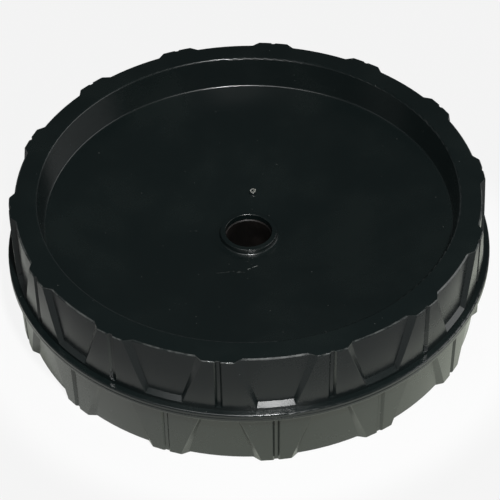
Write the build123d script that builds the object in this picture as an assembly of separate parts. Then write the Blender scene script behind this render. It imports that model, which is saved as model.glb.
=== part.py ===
"""Moulded mower wheel of two welded halves that turns on two ball bearings.

The wheel lies as on a bench: the axle axis is +Z, the dished outboard face looks up,
and the origin is on the axle axis in the mid-plane, where the two halves are welded.
Lengths are millimetres. A profile point is (radius, height) in the plane of the axis.
"""
from build123d import *
import math
import os

# Wheel envelope
ridge_diameter = 203.2
wheel_width = 57.15
ridge_width = 4.0
ridge_height = 2.6
ridge_edge_radius = 0.7
seam_chamfer = 0.25

# Tread, equal on both halves and turned by half a pitch on the inboard one
lug_count = 14
lug_draft = 0.2
lug_edge_radius = 0.8
pocket_depth_foot = 1.9
pocket_depth_face = 2.1
pocket_width_foot = 13.6
pocket_width_face = 26.6
flank_slope_foot = 0.6
flank_slope_face = 1.5
band_height = 1.5
ramp_height = 1.6
groove_top_width = 3.2
groove_floor_width = 1.2
groove_depth = 1.1
groove_end_gap = 1.2

# Rim, recess and web of the outboard half
wall = 3.0
tread_wall = 2.8
rim_width = 11.7
recess_wall_draft = 1.8
recess_depth = 14.5
rim_edge_radius = 1.0
rim_outer_radius = 0.6
web_corner_radius = 1.0
web_root_height = 2.0
web_root_width = 1.9
hub_cover = 2.5
gate_radius = 1.5
gate_height = 1.0
gate_edge_radius = 0.4
gate_distance = 24.6
gate_angle = 79.6

# Hub collar that stands around the bore
collar_wall = 2.25
collar_height = 2.5
collar_lip = 2.6
collar_bore_clearance = 0.33
collar_root_fillet = 0.8
collar_edge_radius = 0.35

# Rim, recess and hub barrel of the inboard half
inboard_recess_depth = 8.0
inboard_corner_radius = 2.0
barrel_setback = 1.2
barrel_end_wall = 2.0
barrel_wall = 4.0
gusset_count = 7
gusset_length = 20.0
gusset_thickness = 2.4

# Stiffening ribs in the closed hollow of each half
rib_count = 7
rib_thickness = 2.2
rib_hub_depth = 7.0
inboard_rib_hub_depth = 3.5
rib_tread_depth = 3.0

# Weld joint in the mid-plane
tongue_height = 1.6
tongue_thickness = 2.0
tongue_inset = 0.9

# Axle sleeve and the bearings on it
bore_diameter = 19.05
sleeve_wall = 1.575
sleeve_setback = 0.4
sleeve_chamfer = 0.4
sleeve_flange = 1.5
sleeve_flange_thickness = 1.2
ball_diameter = 4.76
ball_count = 9
bearing_width = 8.0
race_thickness = 2.6
race_depth = 0.55
cage_thickness = 1.7
cage_rim = 0.5
shield_thickness = 0.5
shield_seat = 0.7
seal_thickness = 1.5
snap_ring_depth = 0.6
snap_ring_thickness = 1.2
snap_ring_mouth = 3.0

# Clearances
running_gap = 0.3
race_clearance = 0.12
seat_clearance = 0.02
pocket_clearance = 0.08
cut_margin = 4.0

# Derived sizes
half_width = wheel_width / 2
half_ridge = ridge_width / 2
ridge_radius = ridge_diameter / 2
lug_top = ridge_radius - ridge_height
lug_pitch = 360 / lug_count
band_top = half_ridge + band_height
ramp_top = band_top + ramp_height
floor_foot = lug_top - pocket_depth_foot
floor_face = lug_top - lug_draft - pocket_depth_face
tread_inner = floor_face - tread_wall
rim_inner = lug_top - rim_width
web_edge = rim_inner - recess_wall_draft
web_edge_height = half_width - recess_depth
inboard_web_height = half_width - inboard_recess_depth

sleeve_bore = bore_diameter / 2
sleeve_radius = sleeve_bore + sleeve_wall
flange_radius = sleeve_radius + sleeve_flange
collar_bore = sleeve_bore + collar_bore_clearance
collar_radius = collar_bore + collar_wall
web_root_radius = collar_radius + web_root_width
collar_top = web_root_height + collar_height
collar_underside = collar_top - collar_lip
sleeve_top = collar_underside - running_gap
sleeve_bottom = sleeve_setback - half_width

inner_race = sleeve_radius + race_thickness
ball_radius = ball_diameter / 2
pitch_radius = inner_race - race_depth + race_clearance + ball_radius
outer_race = 2 * pitch_radius - inner_race
bearing_radius = outer_race + race_thickness
barrel_radius = bearing_radius + barrel_wall

pocket_ceiling = web_root_height - hub_cover
outer_bearing_top = pocket_ceiling - seal_thickness
outer_bearing_middle = outer_bearing_top - bearing_width / 2
barrel_end = barrel_setback - half_width
pocket_floor = barrel_end + barrel_end_wall
inner_bearing_bottom = pocket_floor + seal_thickness
inner_bearing_middle = inner_bearing_bottom + bearing_width / 2
barrel_joint = (outer_bearing_middle + inner_bearing_middle) / 2
spacer_length = outer_bearing_middle - inner_bearing_middle - bearing_width


def revolved(points, corners=()):
    """Turn a closed profile about the axle axis, after rounding the named corners."""
    face = make_face(Polyline(*points, close=True))
    for corner, radius in corners:
        vertex = face.vertices().sort_by_distance((*corner, 0))[0]
        face = fillet(vertex, radius)
    return revolve(Plane.XZ * face, Axis.Z)


def ring(inner, outer, bottom, top):
    """Plain ring about the axle axis."""
    return revolved([(inner, bottom), (outer, bottom), (outer, top), (inner, top)])


def pocket():
    """Tread pocket beside +X: open at the rim face, with a ramp at its foot and sloped flanks."""
    open_end = half_width + cut_margin
    outside = ridge_radius + cut_margin
    inside = floor_face - cut_margin
    lip = floor_face - rim_outer_radius
    swept = revolved([
        (floor_foot, ramp_top),
        (floor_face, half_width - rim_outer_radius),
        (lip, half_width),
        (lip, open_end),
        (outside, open_end),
        (outside, band_top),
        (lug_top, band_top),
    ])

    def section(height, floor, width, slope):
        near = width / 2 - slope * (floor - inside)
        edge = width / 2 + slope * (lug_top - floor)
        edge_angle = math.asin(edge / lug_top)
        edge_x = lug_top * math.cos(edge_angle)
        far = edge + (outside - edge_x) / math.tan(edge_angle)
        corners = [
            (inside, -near), (edge_x, -edge), (outside, -far),
            (outside, far), (edge_x, edge), (inside, near),
        ]
        face = make_face(Polyline(*corners, close=True))
        lug_corners = [v for v in face.vertices() if abs(v.X - edge_x) < lug_edge_radius]
        return Plane.XY.offset(height) * fillet(lug_corners, lug_edge_radius)

    growth = (pocket_width_face - pocket_width_foot) / (half_width - ramp_top)
    foot = section(band_top, floor_foot, pocket_width_foot - growth * ramp_height, flank_slope_foot)
    face = section(open_end, floor_face, pocket_width_face + growth * cut_margin, flank_slope_face)
    wedge = loft([foot, face], ruled=True)
    return swept & wedge


def groove():
    """Narrow groove down the middle of the lug on +X."""
    floor = lug_top - groove_depth
    outside = lug_top + cut_margin
    slope = (groove_top_width - groove_floor_width) / 2 / groove_depth
    far = groove_floor_width / 2 + slope * (outside - floor)
    near = groove_floor_width / 2
    corners = [(floor, -near), (outside, -far), (outside, far), (floor, near)]
    start = half_ridge + groove_end_gap
    profile = Plane.XY.offset(start) * make_face(Polyline(*corners, close=True))
    return extrude(profile, half_width + cut_margin - start)


def tread_cuts():
    """Every pocket and groove of the outboard half, with one lug on +X."""
    one_pocket = pocket()
    one_groove = groove()
    cuts = []
    for index in range(lug_count):
        cuts.append(Rot(0, 0, (index + 0.5) * lug_pitch) * one_pocket)
        cuts.append(Rot(0, 0, index * lug_pitch) * one_groove)
    return cuts


def radial_plates(profile, count, thickness, first_angle):
    """Equal upright plates around the axis, each with its profile in a plane of the axis."""
    plate = extrude(Plane.XZ * make_face(Polyline(*profile, close=True)), thickness / 2, both=True)
    return [Rot(0, 0, first_angle + index * 360 / count) * plate for index in range(count)]


def rim_hollow(web_height):
    """Underside of one half from its web out to the tread wall, as profile points upwards of the seam."""
    rim_height = half_width - wall
    return [
        (web_edge + wall, web_height - wall),
        (rim_inner + wall, rim_height),
        (tread_inner, rim_height),
        (tread_inner, 0),
    ]


def tread_outside():
    """Outside of one half from the seam to the rim face, as profile points."""
    return [
        (ridge_radius - seam_chamfer, 0),
        (ridge_radius, seam_chamfer),
        (ridge_radius, half_ridge),
        (lug_top, half_ridge),
        (lug_top - lug_draft, half_width),
        (rim_inner, half_width),
    ]


def outer_shell():
    """Outboard half: tread, rim, dished web, collar around the bore and the upper bearing pocket."""
    web_slope = (web_edge_height - web_root_height) / (web_edge - web_root_radius)
    barrel_web = web_root_height + web_slope * (barrel_radius - web_root_radius) - wall
    outline = tread_outside() + [
        (web_edge, web_edge_height),
        (web_root_radius, web_root_height),
        (collar_radius, web_root_height),
        (collar_radius, collar_top),
        (collar_bore, collar_top),
        (collar_bore, collar_underside),
        (sleeve_radius + running_gap, collar_underside),
        (sleeve_radius + running_gap, pocket_ceiling),
        (bearing_radius + seat_clearance, pocket_ceiling),
        (bearing_radius + seat_clearance, barrel_joint),
        (barrel_radius, barrel_joint),
        (barrel_radius, barrel_web),
    ] + rim_hollow(web_edge_height)
    shell = revolved(outline, [
        ((ridge_radius, half_ridge), ridge_edge_radius),
        ((lug_top - lug_draft, half_width), rim_outer_radius),
        ((rim_inner, half_width), rim_edge_radius),
        ((web_edge, web_edge_height), web_corner_radius),
        ((collar_radius, web_root_height), collar_root_fillet),
        ((collar_radius, collar_top), collar_edge_radius),
        ((collar_bore, collar_top), collar_edge_radius),
    ])
    skin = wall / 2
    rib = [
        (barrel_radius - skin, barrel_web - rib_hub_depth),
        (tread_inner + skin, rib_tread_depth),
        (tread_inner + skin, half_width - skin),
        (rim_inner + skin, half_width - skin),
        (web_edge + skin, web_edge_height - skin),
        (barrel_radius - skin, barrel_web + skin),
    ]
    tongue_outer = floor_face - tongue_inset + tongue_thickness / 2
    tongue = ring(tongue_outer - tongue_thickness, tongue_outer, -tongue_height, skin)
    web_at_gate = web_root_height + web_slope * (gate_distance - web_root_radius)
    gate = Cylinder(gate_radius, gate_height * 2)
    gate = fillet(gate.edges().group_by(Axis.Z)[-1], gate_edge_radius)
    gate = Rot(0, 0, gate_angle) * Pos(gate_distance, 0, web_at_gate) * gate
    shell = shell + radial_plates(rib, rib_count, rib_thickness, 0) + tongue + gate
    return shell - tread_cuts()


def inner_shell():
    """Inboard half: tread, rim, web, gussets and the barrel that holds the lower bearing."""
    web_top = inboard_web_height
    opening = sleeve_radius + running_gap
    outline = tread_outside() + [
        (web_edge, web_top),
        (barrel_radius, web_top),
        (barrel_radius, -barrel_end),
        (opening, -barrel_end),
        (opening, -pocket_floor),
        (bearing_radius + seat_clearance, -pocket_floor),
        (bearing_radius + seat_clearance, -barrel_joint),
        (barrel_radius, -barrel_joint),
        (barrel_radius, web_top - wall),
    ] + rim_hollow(web_top)
    shell = revolved(outline, [
        ((ridge_radius, half_ridge), ridge_edge_radius),
        ((lug_top - lug_draft, half_width), rim_outer_radius),
        ((rim_inner, half_width), rim_edge_radius),
        ((web_edge, web_top), inboard_corner_radius),
        ((barrel_radius, web_top), inboard_corner_radius),
        ((barrel_radius, -barrel_end), rim_edge_radius),
    ])
    skin = wall / 2
    rib = [
        (barrel_radius - skin, web_top - wall - inboard_rib_hub_depth),
        (tread_inner + skin, rib_tread_depth + tongue_height),
        (tread_inner + skin, half_width - skin),
        (rim_inner + skin, half_width - skin),
        (web_edge + skin, web_top - skin),
        (barrel_radius - skin, web_top - skin),
    ]
    gusset = [
        (barrel_radius - skin, web_top - skin),
        (barrel_radius + gusset_length, web_top - skin),
        (barrel_radius + gusset_length, web_top),
        (barrel_radius, -barrel_end - rim_edge_radius),
        (barrel_radius - skin, -barrel_end - rim_edge_radius),
    ]
    shell = shell + radial_plates(rib, rib_count, rib_thickness, 180 / rib_count)
    shell = shell + radial_plates(gusset, gusset_count, gusset_thickness, 0)
    slot_outer = floor_face - tongue_inset + tongue_thickness / 2 + seat_clearance
    slot_inner = slot_outer - tongue_thickness - 2 * seat_clearance
    slot = ring(slot_inner, slot_outer, -cut_margin, tongue_height + seat_clearance)
    shell = shell - tread_cuts() - slot
    return Rot(0, 0, lug_pitch / 2) * mirror(shell, about=Plane.XY)


def axle_sleeve():
    """Sleeve on the axle: chamfered bore, flange above the upper bearing, groove for the snap ring."""
    flange_bottom = outer_bearing_top
    flange_top = flange_bottom + sleeve_flange_thickness
    groove_radius = sleeve_radius - snap_ring_depth
    groove_top = inner_bearing_bottom
    groove_bottom = groove_top - snap_ring_thickness
    return revolved([
        (sleeve_bore, sleeve_bottom + sleeve_chamfer),
        (sleeve_bore + sleeve_chamfer, sleeve_bottom),
        (sleeve_radius, sleeve_bottom),
        (sleeve_radius, groove_bottom),
        (groove_radius, groove_bottom),
        (groove_radius, groove_top),
        (sleeve_radius, groove_top),
        (sleeve_radius, flange_bottom),
        (flange_radius, flange_bottom),
        (flange_radius, flange_top),
        (sleeve_radius, flange_top),
        (sleeve_radius, sleeve_top),
        (sleeve_bore + sleeve_chamfer, sleeve_top),
        (sleeve_bore, sleeve_top - sleeve_chamfer),
    ])


def snap_ring():
    """Open ring that sits in the groove of the sleeve and holds the lower inner ring."""
    top = inner_bearing_bottom - seat_clearance
    bottom = inner_bearing_bottom - snap_ring_thickness + seat_clearance
    body = ring(sleeve_radius - snap_ring_depth + seat_clearance, flange_radius, bottom, top)
    mouth = Pos(flange_radius, 0, bottom) * Box(flange_radius, snap_ring_mouth, cut_margin)
    return body - mouth


def raceway():
    """Round channel that the balls run in, cut from both rings."""
    return Torus(pitch_radius, ball_radius + race_clearance)


def bearing_inner_ring():
    half = bearing_width / 2
    return ring(sleeve_radius + seat_clearance, inner_race, -half, half) - raceway()


def bearing_outer_ring():
    """Outer ring with a step at each face for its shield."""
    half = bearing_width / 2
    step = half - shield_thickness
    body = revolved([
        (outer_race, -step),
        (outer_race + shield_seat, -step),
        (outer_race + shield_seat, -half),
        (bearing_radius, -half),
        (bearing_radius, half),
        (outer_race + shield_seat, half),
        (outer_race + shield_seat, step),
        (outer_race, step),
    ])
    return body - raceway()


def bearing_balls():
    """Balls evenly spaced on the pitch circle."""
    spots = PolarLocations(pitch_radius, ball_count)
    return Compound([spot * Sphere(ball_radius) for spot in spots])


def bearing_cage():
    """Ring between the races with a round window for each ball."""
    window = ball_radius + pocket_clearance
    half = window + cage_rim
    body = ring(pitch_radius - cage_thickness / 2, pitch_radius + cage_thickness / 2, -half, half)
    hole = Rot(0, 90, 0) * Cylinder(window, cage_thickness * 2)
    return body - [spot * hole for spot in PolarLocations(pitch_radius, ball_count)]


def bearing_shield():
    """Thin cover held in the step of the outer ring, clear of the inner ring."""
    inner = inner_race + running_gap
    outer = outer_race + shield_seat - seat_clearance
    top = bearing_width / 2
    return ring(inner, outer, top - shield_thickness + seat_clearance, top)


def bearing(name, middle):
    """Every piece of one bearing, moved to its place on the sleeve."""
    place = Pos(0, 0, middle)
    shield = bearing_shield()
    return {
        name + "_inner_ring": place * bearing_inner_ring(),
        name + "_outer_ring": place * bearing_outer_ring(),
        name + "_balls": place * bearing_balls(),
        name + "_cage": place * bearing_cage(),
        name + "_upper_shield": place * shield,
        name + "_lower_shield": place * mirror(shield, about=Plane.XY),
    }


def spacer(inner, outer):
    """Tube that keeps the two bearings apart, between their inner or their outer rings."""
    middle = (outer_bearing_middle + inner_bearing_middle) / 2
    half = spacer_length / 2 - seat_clearance
    return ring(inner, outer, middle - half, middle + half)


def dust_seal(bottom):
    """Felt ring between the end of the bearing pocket and the bearing."""
    inner = flange_radius + running_gap
    return ring(inner, bearing_radius, bottom + seat_clearance, bottom + seal_thickness - seat_clearance)


def wheel():
    """All pieces of the wheel by name."""
    pieces = {
        "outer_shell": outer_shell(),
        "inner_shell": inner_shell(),
        "axle_sleeve": axle_sleeve(),
        "snap_ring": snap_ring(),
        "sleeve_spacer": spacer(sleeve_radius + seat_clearance, inner_race),
        "hub_spacer": spacer(outer_race, bearing_radius),
        "outer_dust_seal": dust_seal(outer_bearing_top),
        "inner_dust_seal": dust_seal(pocket_floor),
    }
    pieces.update(bearing("outer_bearing", outer_bearing_middle))
    pieces.update(bearing("inner_bearing", inner_bearing_middle))
    return pieces


os.makedirs("parts", exist_ok=True)
for node, shape in wheel().items():
    export_step(shape, f"parts/{node}.step")
    print(node, round(shape.volume), "mm3")
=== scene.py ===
"""Moulded mower wheel lying on its inboard side on a pale bench, in soft studio light."""
import math
import random

import bpy
from mathutils import Matrix, Vector


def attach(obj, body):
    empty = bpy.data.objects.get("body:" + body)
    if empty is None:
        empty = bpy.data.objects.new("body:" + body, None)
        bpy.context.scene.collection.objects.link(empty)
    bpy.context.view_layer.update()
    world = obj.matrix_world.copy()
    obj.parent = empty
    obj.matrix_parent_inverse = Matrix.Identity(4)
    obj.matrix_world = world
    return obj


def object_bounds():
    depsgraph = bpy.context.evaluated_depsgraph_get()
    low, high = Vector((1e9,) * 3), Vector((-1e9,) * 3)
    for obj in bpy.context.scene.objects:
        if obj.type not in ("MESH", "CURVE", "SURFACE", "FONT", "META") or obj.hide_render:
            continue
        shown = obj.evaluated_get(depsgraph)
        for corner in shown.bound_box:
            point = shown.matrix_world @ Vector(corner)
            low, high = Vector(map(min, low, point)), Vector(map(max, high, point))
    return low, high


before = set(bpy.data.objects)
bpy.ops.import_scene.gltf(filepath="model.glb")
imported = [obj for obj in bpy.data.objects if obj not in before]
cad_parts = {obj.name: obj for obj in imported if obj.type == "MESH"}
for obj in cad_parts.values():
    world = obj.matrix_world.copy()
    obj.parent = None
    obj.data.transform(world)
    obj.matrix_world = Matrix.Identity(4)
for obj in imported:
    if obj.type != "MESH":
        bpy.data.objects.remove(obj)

cad_box = [list(corner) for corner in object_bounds()]
bpy.ops.object.select_all(action="DESELECT")


# Moulded halves
# Two shells of black polypropylene, injection moulded and welded together along the ridge.
# The satin skin has a fine orange peel, faint flow lines out of the gate, dust and a few scuffs.
class Socket:
    """Output of a shader node. Arithmetic on it adds Math nodes to the same graph."""

    def __init__(self, graph, output):
        self.graph = graph
        self.output = output

    def math(self, operation, first, second):
        return self.graph.node("ShaderNodeMath", {"operation": operation}, {0: first, 1: second})

    def __add__(self, other):
        return self.math("ADD", self, other)

    __radd__ = __add__

    def __sub__(self, other):
        return self.math("SUBTRACT", self, other)

    def __rsub__(self, other):
        return self.math("SUBTRACT", other, self)

    def __mul__(self, other):
        return self.math("MULTIPLY", self, other)

    __rmul__ = __mul__

    def __truediv__(self, other):
        return self.math("DIVIDE", self, other)

    def __pow__(self, other):
        return self.math("POWER", self, other)


class Graph:
    """Nodes of a material or of the world."""

    def __init__(self, tree):
        self.tree = tree

    def node(self, kind, settings=None, inputs=None, output=0):
        """Add a node: its settings come first, then the value or link of each socket."""
        made = self.tree.nodes.new(kind)
        for name, value in (settings or {}).items():
            setattr(made, name, value)
        for name, value in (inputs or {}).items():
            self.feed(made.inputs[name], value)
        return Socket(self, made.outputs[output])

    def feed(self, target, value):
        """Set one input, or link it."""
        if isinstance(value, Socket):
            self.tree.links.new(value.output, target)
        else:
            target.default_value = value

    def ramp(self, value, low, high, floor=0.0, ceiling=1.0):
        """Smooth step from floor at low to ceiling at high."""
        limits = {"Value": value, "From Min": low, "From Max": high, "To Min": floor, "To Max": ceiling}
        return self.node("ShaderNodeMapRange", {"interpolation_type": "SMOOTHSTEP"}, limits)

    def axes(self, vector):
        """The three coordinates of a vector."""
        split = self.node("ShaderNodeSeparateXYZ", inputs={0: vector})
        return [Socket(self, output) for output in split.output.node.outputs]


class Finish(Graph):
    """Procedural material with one Principled shader, patterned on object coordinates."""

    def __init__(self, name, roughness, metallic=0.0, specular=0.5):
        self.material = bpy.data.materials.new(name)
        self.material.use_nodes = True
        super().__init__(self.material.node_tree)
        self.shader = self.tree.nodes["Principled BSDF"]
        self.shader.inputs["Roughness"].default_value = roughness
        self.shader.inputs["Metallic"].default_value = metallic
        self.shader.inputs["Specular IOR Level"].default_value = specular
        self.place = self.node("ShaderNodeTexCoord", output="Object")

    def noise(self, scale, detail, place=None):
        inputs = {"Vector": place or self.place, "Scale": scale, "Detail": detail}
        return self.node("ShaderNodeTexNoise", inputs=inputs)

    def blend(self, factor, first, second):
        """Colour between two colours."""
        return self.node("ShaderNodeMix", {"data_type": "RGBA"}, {0: factor, 6: first, 7: second}, 2)

    def dress(self, base=None, roughness=None, height=None, depth=0.0001):
        """Link what varies over the surface: colour, roughness, and a bump height whose unit is depth."""
        if base:
            self.feed(self.shader.inputs["Base Color"], base)
        if roughness:
            self.feed(self.shader.inputs["Roughness"], roughness)
        if height:
            bump = self.node("ShaderNodeBump", inputs={"Height": height, "Distance": depth})
            self.feed(self.shader.inputs["Normal"], bump)

    def wear_on(self, piece):
        """Make this the piece's only material."""
        piece.data.materials.clear()
        piece.data.materials.append(self.material)


rim_face = cad_box[1][2]
lug_top = 0.099
web_edge_height = 0.014
clean_black = (0.0045, 0.0078, 0.0078, 1)
filmed_black = (0.0064, 0.0102, 0.0099, 1)
# The lighter grey marks real scuffs, dust and handling, and also a painted highlight along the outer edge
wear_and_highlight_grey = (0.20, 0.21, 0.20, 1)

plastic = Finish("black_polypropylene", roughness=0.3, specular=0.7)
part_x, part_y, part_z = plastic.axes(plastic.place)
radius = (part_x * part_x + part_y * part_y) ** 0.5
from_seam = (part_z * part_z) ** 0.5
peel = plastic.noise(scale=1500, detail=2)
smudge = plastic.noise(scale=34, detail=5)
pale_film = plastic.ramp(smudge, 0.42, 0.72)

# Flow lines run outwards, so the pattern changes slowly with the radius
flow_rate = 4
outwards = {0: part_x / radius, 1: part_y / radius, 2: radius * flow_rate}
flow = plastic.noise(scale=22, detail=4, place=plastic.node("ShaderNodeCombineXYZ", inputs=outwards))

# Dust: only a few of the cells hold a speck
speck_cells = {"Vector": plastic.place, "Scale": 300}
speck_distance = plastic.node("ShaderNodeTexVoronoi", {"feature": "F1"}, speck_cells)
cell_colour = Socket(plastic, speck_distance.output.node.outputs["Color"])
chosen = plastic.axes(cell_colour)[0]
specks = plastic.ramp(speck_distance, 0.10, 0.04) * plastic.ramp(chosen, 0.86, 0.88)


def scuff(start, end, width, strength):
    """Mask of one straight scuff on the web, from start to end in metres."""
    run_x = end[0] - start[0]
    run_y = end[1] - start[1]
    length = math.hypot(run_x, run_y)
    from_x = part_x - start[0]
    from_y = part_y - start[1]
    forward = (from_x * run_x + from_y * run_y) / length
    sideways = (from_y * run_x - from_x * run_y) / length
    inside = plastic.ramp(sideways * sideways, width ** 2, 0)
    begun = plastic.ramp(forward, -width, width)
    ended = plastic.ramp(forward, length + width, length - width)
    return inside * begun * ended * strength


scuffs = (
    scuff((-0.0163, -0.0242), (-0.0079, -0.0230), width=0.00035, strength=0.22)
    + scuff((-0.0079, -0.0237), (-0.0042, -0.0240), width=0.0009, strength=0.26)
    + scuff((-0.0030, -0.0224), (0.0018, -0.0200), width=0.00028, strength=0.9)
    + scuff((-0.0247, 0.0033), (-0.0213, 0.0035), width=0.00025, strength=0.22)
)
on_web = plastic.ramp(part_z, web_edge_height + 0.0005, web_edge_height - 0.0005)
grain = plastic.ramp(plastic.noise(scale=900, detail=5), 0.40, 0.62)

# Handling dulls the lug tops. The rounded edge between tread and rim face is lighter all round, partly
# rubbed wear and partly a painted highlight
on_lug_tops = plastic.ramp(radius, lug_top - 0.0018, lug_top - 0.0004)
handled = on_lug_tops * plastic.ramp(plastic.noise(scale=210, detail=7), 0.56, 0.78)
outer_edge = (
    plastic.ramp(from_seam, rim_face - 0.000675, rim_face - 0.000375)
    * plastic.ramp(from_seam, rim_face - 0.000015, rim_face - 0.000075)
    * plastic.ramp(radius, lug_top - 0.0055, lug_top - 0.0045)
)
rubbed_edge_and_highlight = outer_edge * plastic.ramp(plastic.noise(scale=260, detail=6), 0.35, 0.65, floor=0.3)
# Lighter where scuffed, dusty or handled, and along the outer rounded edge a painted highlight
wear_and_edge_highlight = plastic.ramp(scuffs * on_web * grain + handled * 0.05 + specks * 0.35 + rubbed_edge_and_highlight * 0.36, 0, 1)
plastic.dress(
    base=plastic.blend(wear_and_edge_highlight, plastic.blend(pale_film, clean_black, filmed_black), wear_and_highlight_grey),
    roughness=0.18 + smudge * 0.13 + peel * 0.03 + wear_and_edge_highlight * 0.25,
    height=peel * 0.22 + flow + wear_and_edge_highlight * 0.5,
    depth=0.00002,
)
for half in ("outer_shell", "inner_shell"):
    plastic.wear_on(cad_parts[half])


# Weld flash
# Melted plastic squeezed out where the halves were welded: a thin uneven bead in the groove of
# the seam, and small slivers that stand along the upper edge of the ridge.
ridge_radius = 0.1016
seam_depth = 0.0002
bead_radius = 0.00013
bead_sides = 6
bead_steps = 360
bead_swell = (-0.00006, 0.00004)
chance = random.Random(14)

bpy.ops.mesh.primitive_torus_add(
    major_radius=ridge_radius - seam_depth, minor_radius=bead_radius,
    major_segments=bead_steps, minor_segments=bead_sides,
)
bead = bpy.context.object
bead.name = "weld_bead"
swell = [chance.uniform(*bead_swell) for _ in range(bead_steps)]
for vertex in bead.data.vertices:
    turn = math.atan2(vertex.co.y, vertex.co.x) / math.tau * bead_steps
    here = int(turn) % bead_steps
    share = turn - math.floor(turn)
    grown = swell[here] * (1 - share) + swell[(here + 1) % bead_steps] * share
    across = math.hypot(vertex.co.x, vertex.co.y)
    vertex.co.x *= 1 + grown / across
    vertex.co.y *= 1 + grown / across
    vertex.co.z *= 1 + grown / bead_radius
bpy.ops.object.shade_smooth()
plastic.wear_on(bead)
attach(bead, "wheel")

sliver_angles = [-100.1, -96.4, -93.8, -91.6, -75.7, -48.0, 12.0, 61.0, 118.0, 163.0, 204.0, 236.0]
sliver_size = (0.00034, 0.0010, 0.00030)
sliver_unevenness = 0.00006
sliver_bevel = 0.00004
sliver_spot = Matrix.Translation((0.10138, 0, 0.00178))
sliver_lean = Matrix.Rotation(math.radians(-45), 4, "Y")
slivers = []
bpy.ops.object.select_all(action="DESELECT")
bpy.ops.mesh.primitive_cube_add(size=1, location=(0, 0, 0))
pattern = bpy.context.object
bpy.ops.object.mode_set(mode="EDIT")
bpy.ops.transform.resize(value=sliver_size)
bpy.ops.mesh.subdivide(number_cuts=2)
bpy.ops.transform.vertex_random(offset=sliver_unevenness, seed=3)
bpy.ops.object.mode_set(mode="OBJECT")
for angle in sliver_angles:
    sliver = pattern.copy()
    sliver.data = pattern.data.copy()
    bpy.context.collection.objects.link(sliver)
    size = Matrix.Diagonal((1, chance.uniform(0.5, 1.3), chance.uniform(0.7, 1.2), 1))
    around = Matrix.Rotation(math.radians(angle), 4, "Z")
    sliver.data.transform(around @ sliver_spot @ sliver_lean @ size)
    slivers.append(sliver)
bpy.data.objects.remove(pattern)
bpy.ops.object.select_all(action="DESELECT")
for sliver in slivers:
    sliver.select_set(True)
flash = slivers[0]
bpy.context.view_layer.objects.active = flash
bpy.ops.object.join()
flash.name = "ridge_flash"
bpy.ops.object.modifier_add(type="BEVEL")
flash.modifiers[-1].width = sliver_bevel
bpy.ops.object.modifier_apply(modifier=flash.modifiers[-1].name)
bpy.ops.object.shade_smooth_by_angle(angle=math.radians(40))
plastic.wear_on(flash)
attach(flash, "wheel")


# Torn gate
# The stub where the runner was broken off after moulding. Its top is torn: a ragged rim round a
# small crater, whitened where the plastic was stretched.
gate_angle = math.radians(79.6)
gate_distance = 0.0246
gate_top = 0.00479
gate_place = (gate_distance * math.cos(gate_angle), gate_distance * math.sin(gate_angle), gate_top)
scar_radius = 0.00135
scar_depth = 0.0006
rim_inset = 0.0003
crater_inset = 0.0004
crater_depth = 0.0004
torn_upwards = (-0.0002, 0.0005)
torn_sideways = (-0.00014, 0.00014)

stretched = Finish("torn_polypropylene", roughness=0.3)
tear = stretched.ramp(stretched.noise(scale=1900, detail=4), 0.45, 0.62)
stretched.dress(
    base=stretched.blend(tear, (0.03, 0.032, 0.03, 1), (0.42, 0.43, 0.39, 1)),
    roughness=0.25 + tear * 0.3,
    height=stretched.noise(scale=4000, detail=3),
    depth=0.00005,
)
bpy.ops.object.select_all(action="DESELECT")
bpy.ops.mesh.primitive_cylinder_add(vertices=18, radius=scar_radius, depth=scar_depth, location=gate_place)
scar = bpy.context.object
scar.name = "gate_scar"
bpy.ops.object.transform_apply(location=True, rotation=True, scale=True)
bpy.ops.object.mode_set(mode="EDIT")
bpy.ops.mesh.select_all(action="DESELECT")
bpy.ops.object.mode_set(mode="OBJECT")
for face in scar.data.polygons:
    face.select = face.normal.z > 0.9
bpy.ops.object.mode_set(mode="EDIT")
bpy.ops.mesh.inset(thickness=rim_inset, depth=0)
bpy.ops.mesh.inset(thickness=crater_inset, depth=-crater_depth)
bpy.ops.object.mode_set(mode="OBJECT")
for vertex in scar.data.vertices:
    if vertex.co.z > gate_top:
        vertex.co.z += chance.uniform(*torn_upwards)
        vertex.co.x += chance.uniform(*torn_sideways)
        vertex.co.y += chance.uniform(*torn_sideways)
bpy.ops.object.modifier_add(type="SUBSURF")
scar.modifiers[-1].levels = 2
scar.modifiers[-1].render_levels = 2
bpy.ops.object.modifier_apply(modifier=scar.modifiers[-1].name)
bpy.ops.object.shade_smooth()
stretched.wear_on(scar)
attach(scar, "wheel")


# Steel in the hub
# The sleeve, the spacers and the snap ring are blackened carbon steel. The rings and balls of
# the bearings are bright hardened steel, and their cages and shields are pressed sheet.
blackened = Finish("blackened_steel", roughness=0.5, metallic=0.3)
turning = blackened.noise(scale=900, detail=2)
oil = blackened.ramp(blackened.noise(scale=120, detail=4), 0.4, 0.7)
blackened.dress(
    base=blackened.blend(oil, (0.004, 0.0035, 0.003, 1), (0.011, 0.009, 0.008, 1)),
    roughness=0.4 + turning * 0.2,
    height=turning,
    depth=0.00001,
)
bright = Finish("bearing_steel", roughness=0.22, metallic=1.0)
lapping = bright.noise(scale=1600, detail=2)
tarnish = bright.noise(scale=60, detail=3)
bright.dress(
    base=bright.blend(tarnish, (0.50, 0.51, 0.53, 1), (0.60, 0.60, 0.61, 1)),
    roughness=0.14 + lapping * 0.16,
    height=lapping,
    depth=0.000004,
)
pressed = Finish("pressed_sheet_steel", roughness=0.35, metallic=1.0)
rolling = pressed.noise(scale=500, detail=4)
pressed.dress(
    base=pressed.blend(rolling, (0.36, 0.36, 0.37, 1), (0.46, 0.45, 0.44, 1)),
    roughness=0.28 + rolling * 0.2,
    height=rolling,
    depth=0.00001,
)
steel_of = {
    "sleeve": blackened, "spacer": blackened, "snap": blackened,
    "_ring": bright, "balls": bright,
    "cage": pressed, "shield": pressed,
}
for name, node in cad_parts.items():
    for word, steel in steel_of.items():
        if word in name:
            steel.wear_on(node)
            break


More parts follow.
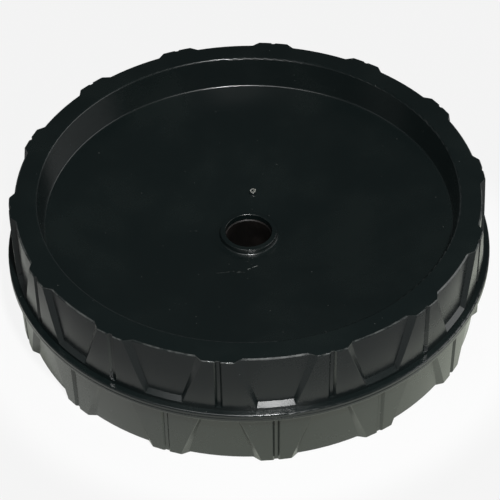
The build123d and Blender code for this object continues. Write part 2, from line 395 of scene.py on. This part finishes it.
# Dust seals
# Rings of grey wool felt, cut from sheet, that keep grass and grit out of the bearings.
felt = Finish("grey_felt", roughness=0.95, specular=0.1)
fibres = felt.noise(scale=2600, detail=8)
tufts = felt.noise(scale=300, detail=4)
felt.dress(
    base=felt.blend(fibres, (0.05, 0.05, 0.05, 1), (0.22, 0.21, 0.20, 1)),
    height=fibres + tufts,
    depth=0.0002,
)
for name in ("outer_dust_seal", "inner_dust_seal"):
    felt.wear_on(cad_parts[name])


# Bench and studio
# A plain sheet under the wheel. Its colour is a painted pool of light, pale close to the wheel and greyer
# further off.
# It keeps the wheel's shadow, and in the wheel's gloss it shows a painted reflection, a glow beside the
# tread that is brightest to the right.
# The room is pale at the height of the bench and dark above it.
bench_size = 12.0
paper_painted_bright = (0.70, 0.70, 0.70, 1)
paper_painted_dim = (0.22, 0.22, 0.22, 1)
shadow_clearing = 0.88

bpy.ops.object.select_all(action="DESELECT")
bpy.ops.mesh.primitive_plane_add(size=bench_size, location=(0, 0, cad_box[0][2]))
bench = bpy.context.object
bench.name = "bench"
paper = Finish("paper_painted_bright", roughness=0.9, specular=0.1)
camera_ray = paper.node("ShaderNodeLightPath", output="Is Camera Ray")
glossy_ray = paper.node("ShaderNodeLightPath", output="Is Glossy Ray")
through_ray = paper.node("ShaderNodeLightPath", output="Is Transmission Ray")
white = paper.node("ShaderNodeEmission", inputs={"Color": (1, 1, 1, 1), "Strength": 1.0})
painted_reflection_glow = paper.node("ShaderNodeEmission", inputs={"Color": (0.94, 1.0, 0.86, 1), "Strength": 1.0})
lit_paper = Socket(paper, paper.shader.outputs[0])
bench_x, bench_y, _ = paper.axes(paper.place)
from_axle = (bench_x * bench_x + bench_y * bench_y) ** 0.5
# Painted pool of light: the sheet's colour is pale close to the wheel and grey further off
near_wheel = paper.ramp(from_axle, 0.136, 0.114)
paper.dress(base=paper.blend(near_wheel, paper_painted_dim, paper_painted_bright))
# Painted reflection: in glossy rays the sheet glows warm white beside the tread, most of all to the right
beside_wheel = near_wheel * paper.ramp(from_axle, 0.092, 0.099)
to_the_right = paper.ramp(bench_x, -0.085, -0.015, floor=0.40)
painted_reflection_mask = (glossy_ray + through_ray) * beside_wheel * to_the_right
reflected = paper.node("ShaderNodeMixShader", inputs={0: painted_reflection_mask, 1: lit_paper, 2: painted_reflection_glow})
shown = paper.node("ShaderNodeMixShader", inputs={0: camera_ray * shadow_clearing, 1: reflected, 2: white})
paper.feed(paper.tree.nodes["Material Output"].inputs["Surface"], shown)
bench.data.materials.append(paper.material)

world = bpy.data.worlds.new("studio")
bpy.context.scene.world = world
world.use_nodes = True
studio = Graph(world.node_tree)
looking_up = studio.axes(studio.node("ShaderNodeTexCoord", output="Generated"))[2]
room = studio.ramp(looking_up, 0.05, 0.30, floor=0.30, ceiling=0.035)
camera_sees = studio.node("ShaderNodeLightPath", output="Is Camera Ray")
background = studio.tree.nodes["Background"]
studio.feed(background.inputs["Color"], (0.94, 0.98, 1.0, 1))
studio.feed(background.inputs["Strength"], camera_sees + (1 - camera_sees) * room)


# Camera and lamps
# A small lamp above the camera gives the bright ramps and edges, and a soft one to its left
# lights the front. A wide panel low on the right brightens that side of the tread, and a weak
# one fills the left.
view_distance = 0.7945
view_elevation = math.radians(43.44)
view_azimuth = math.radians(-95.54)
view_roll = math.radians(-0.95)
picture_width = 500
focal_pixels = 1872
centre_offset = (1.2, -11.9)


def sight_line(azimuth, elevation):
    """Unit vector from the wheel towards an azimuth and elevation in radians."""
    level = math.cos(elevation)
    return Vector((level * math.cos(azimuth), level * math.sin(azimuth), math.sin(elevation)))


toward = sight_line(view_azimuth, view_elevation)
level_right = Vector((-math.sin(view_azimuth), math.cos(view_azimuth), 0))
level_up = toward.cross(level_right)
right = math.cos(view_roll) * level_right + math.sin(view_roll) * level_up
up = math.cos(view_roll) * level_up - math.sin(view_roll) * level_right
lens = bpy.data.cameras.new("photo_camera")
lens.sensor_width = 36
lens.lens = focal_pixels / picture_width * lens.sensor_width
lens.shift_x = centre_offset[0] / picture_width
lens.shift_y = centre_offset[1] / picture_width
lens.clip_start = 0.01
camera = bpy.data.objects.new("photo_camera", lens)
bpy.context.collection.objects.link(camera)
facing = Matrix((right, up, toward)).transposed().to_4x4()
camera.matrix_world = Matrix.Translation(toward * view_distance) @ facing
bpy.context.scene.camera = camera


def panel(name, azimuth, elevation, distance, size, power):
    """Soft lamp aimed at the wheel, with its azimuth counted from the camera towards the right."""
    direction = sight_line(view_azimuth + math.radians(azimuth), math.radians(elevation))
    lamp = bpy.data.lights.new(name, "AREA")
    lamp.shape = "RECTANGLE"
    lamp.size, lamp.size_y = size
    lamp.energy = power
    holder = bpy.data.objects.new(name, lamp)
    bpy.context.collection.objects.link(holder)
    holder.location = direction * distance
    holder.rotation_euler = direction.to_track_quat("Z", "Y").to_euler()


panel("camera_lamp", azimuth=12, elevation=56, distance=0.85, size=(0.08, 0.06), power=6.8)
panel("left_front_panel", azimuth=-30, elevation=57, distance=0.85, size=(0.3, 0.3), power=0.9)
panel("right_panel", azimuth=100, elevation=22, distance=1.3, size=(1.3, 0.5), power=3.6)
panel("left_panel", azimuth=-75, elevation=22, distance=1.4, size=(0.6, 0.4), power=0.4)

bpy.context.scene.view_settings.view_transform = "Standard"
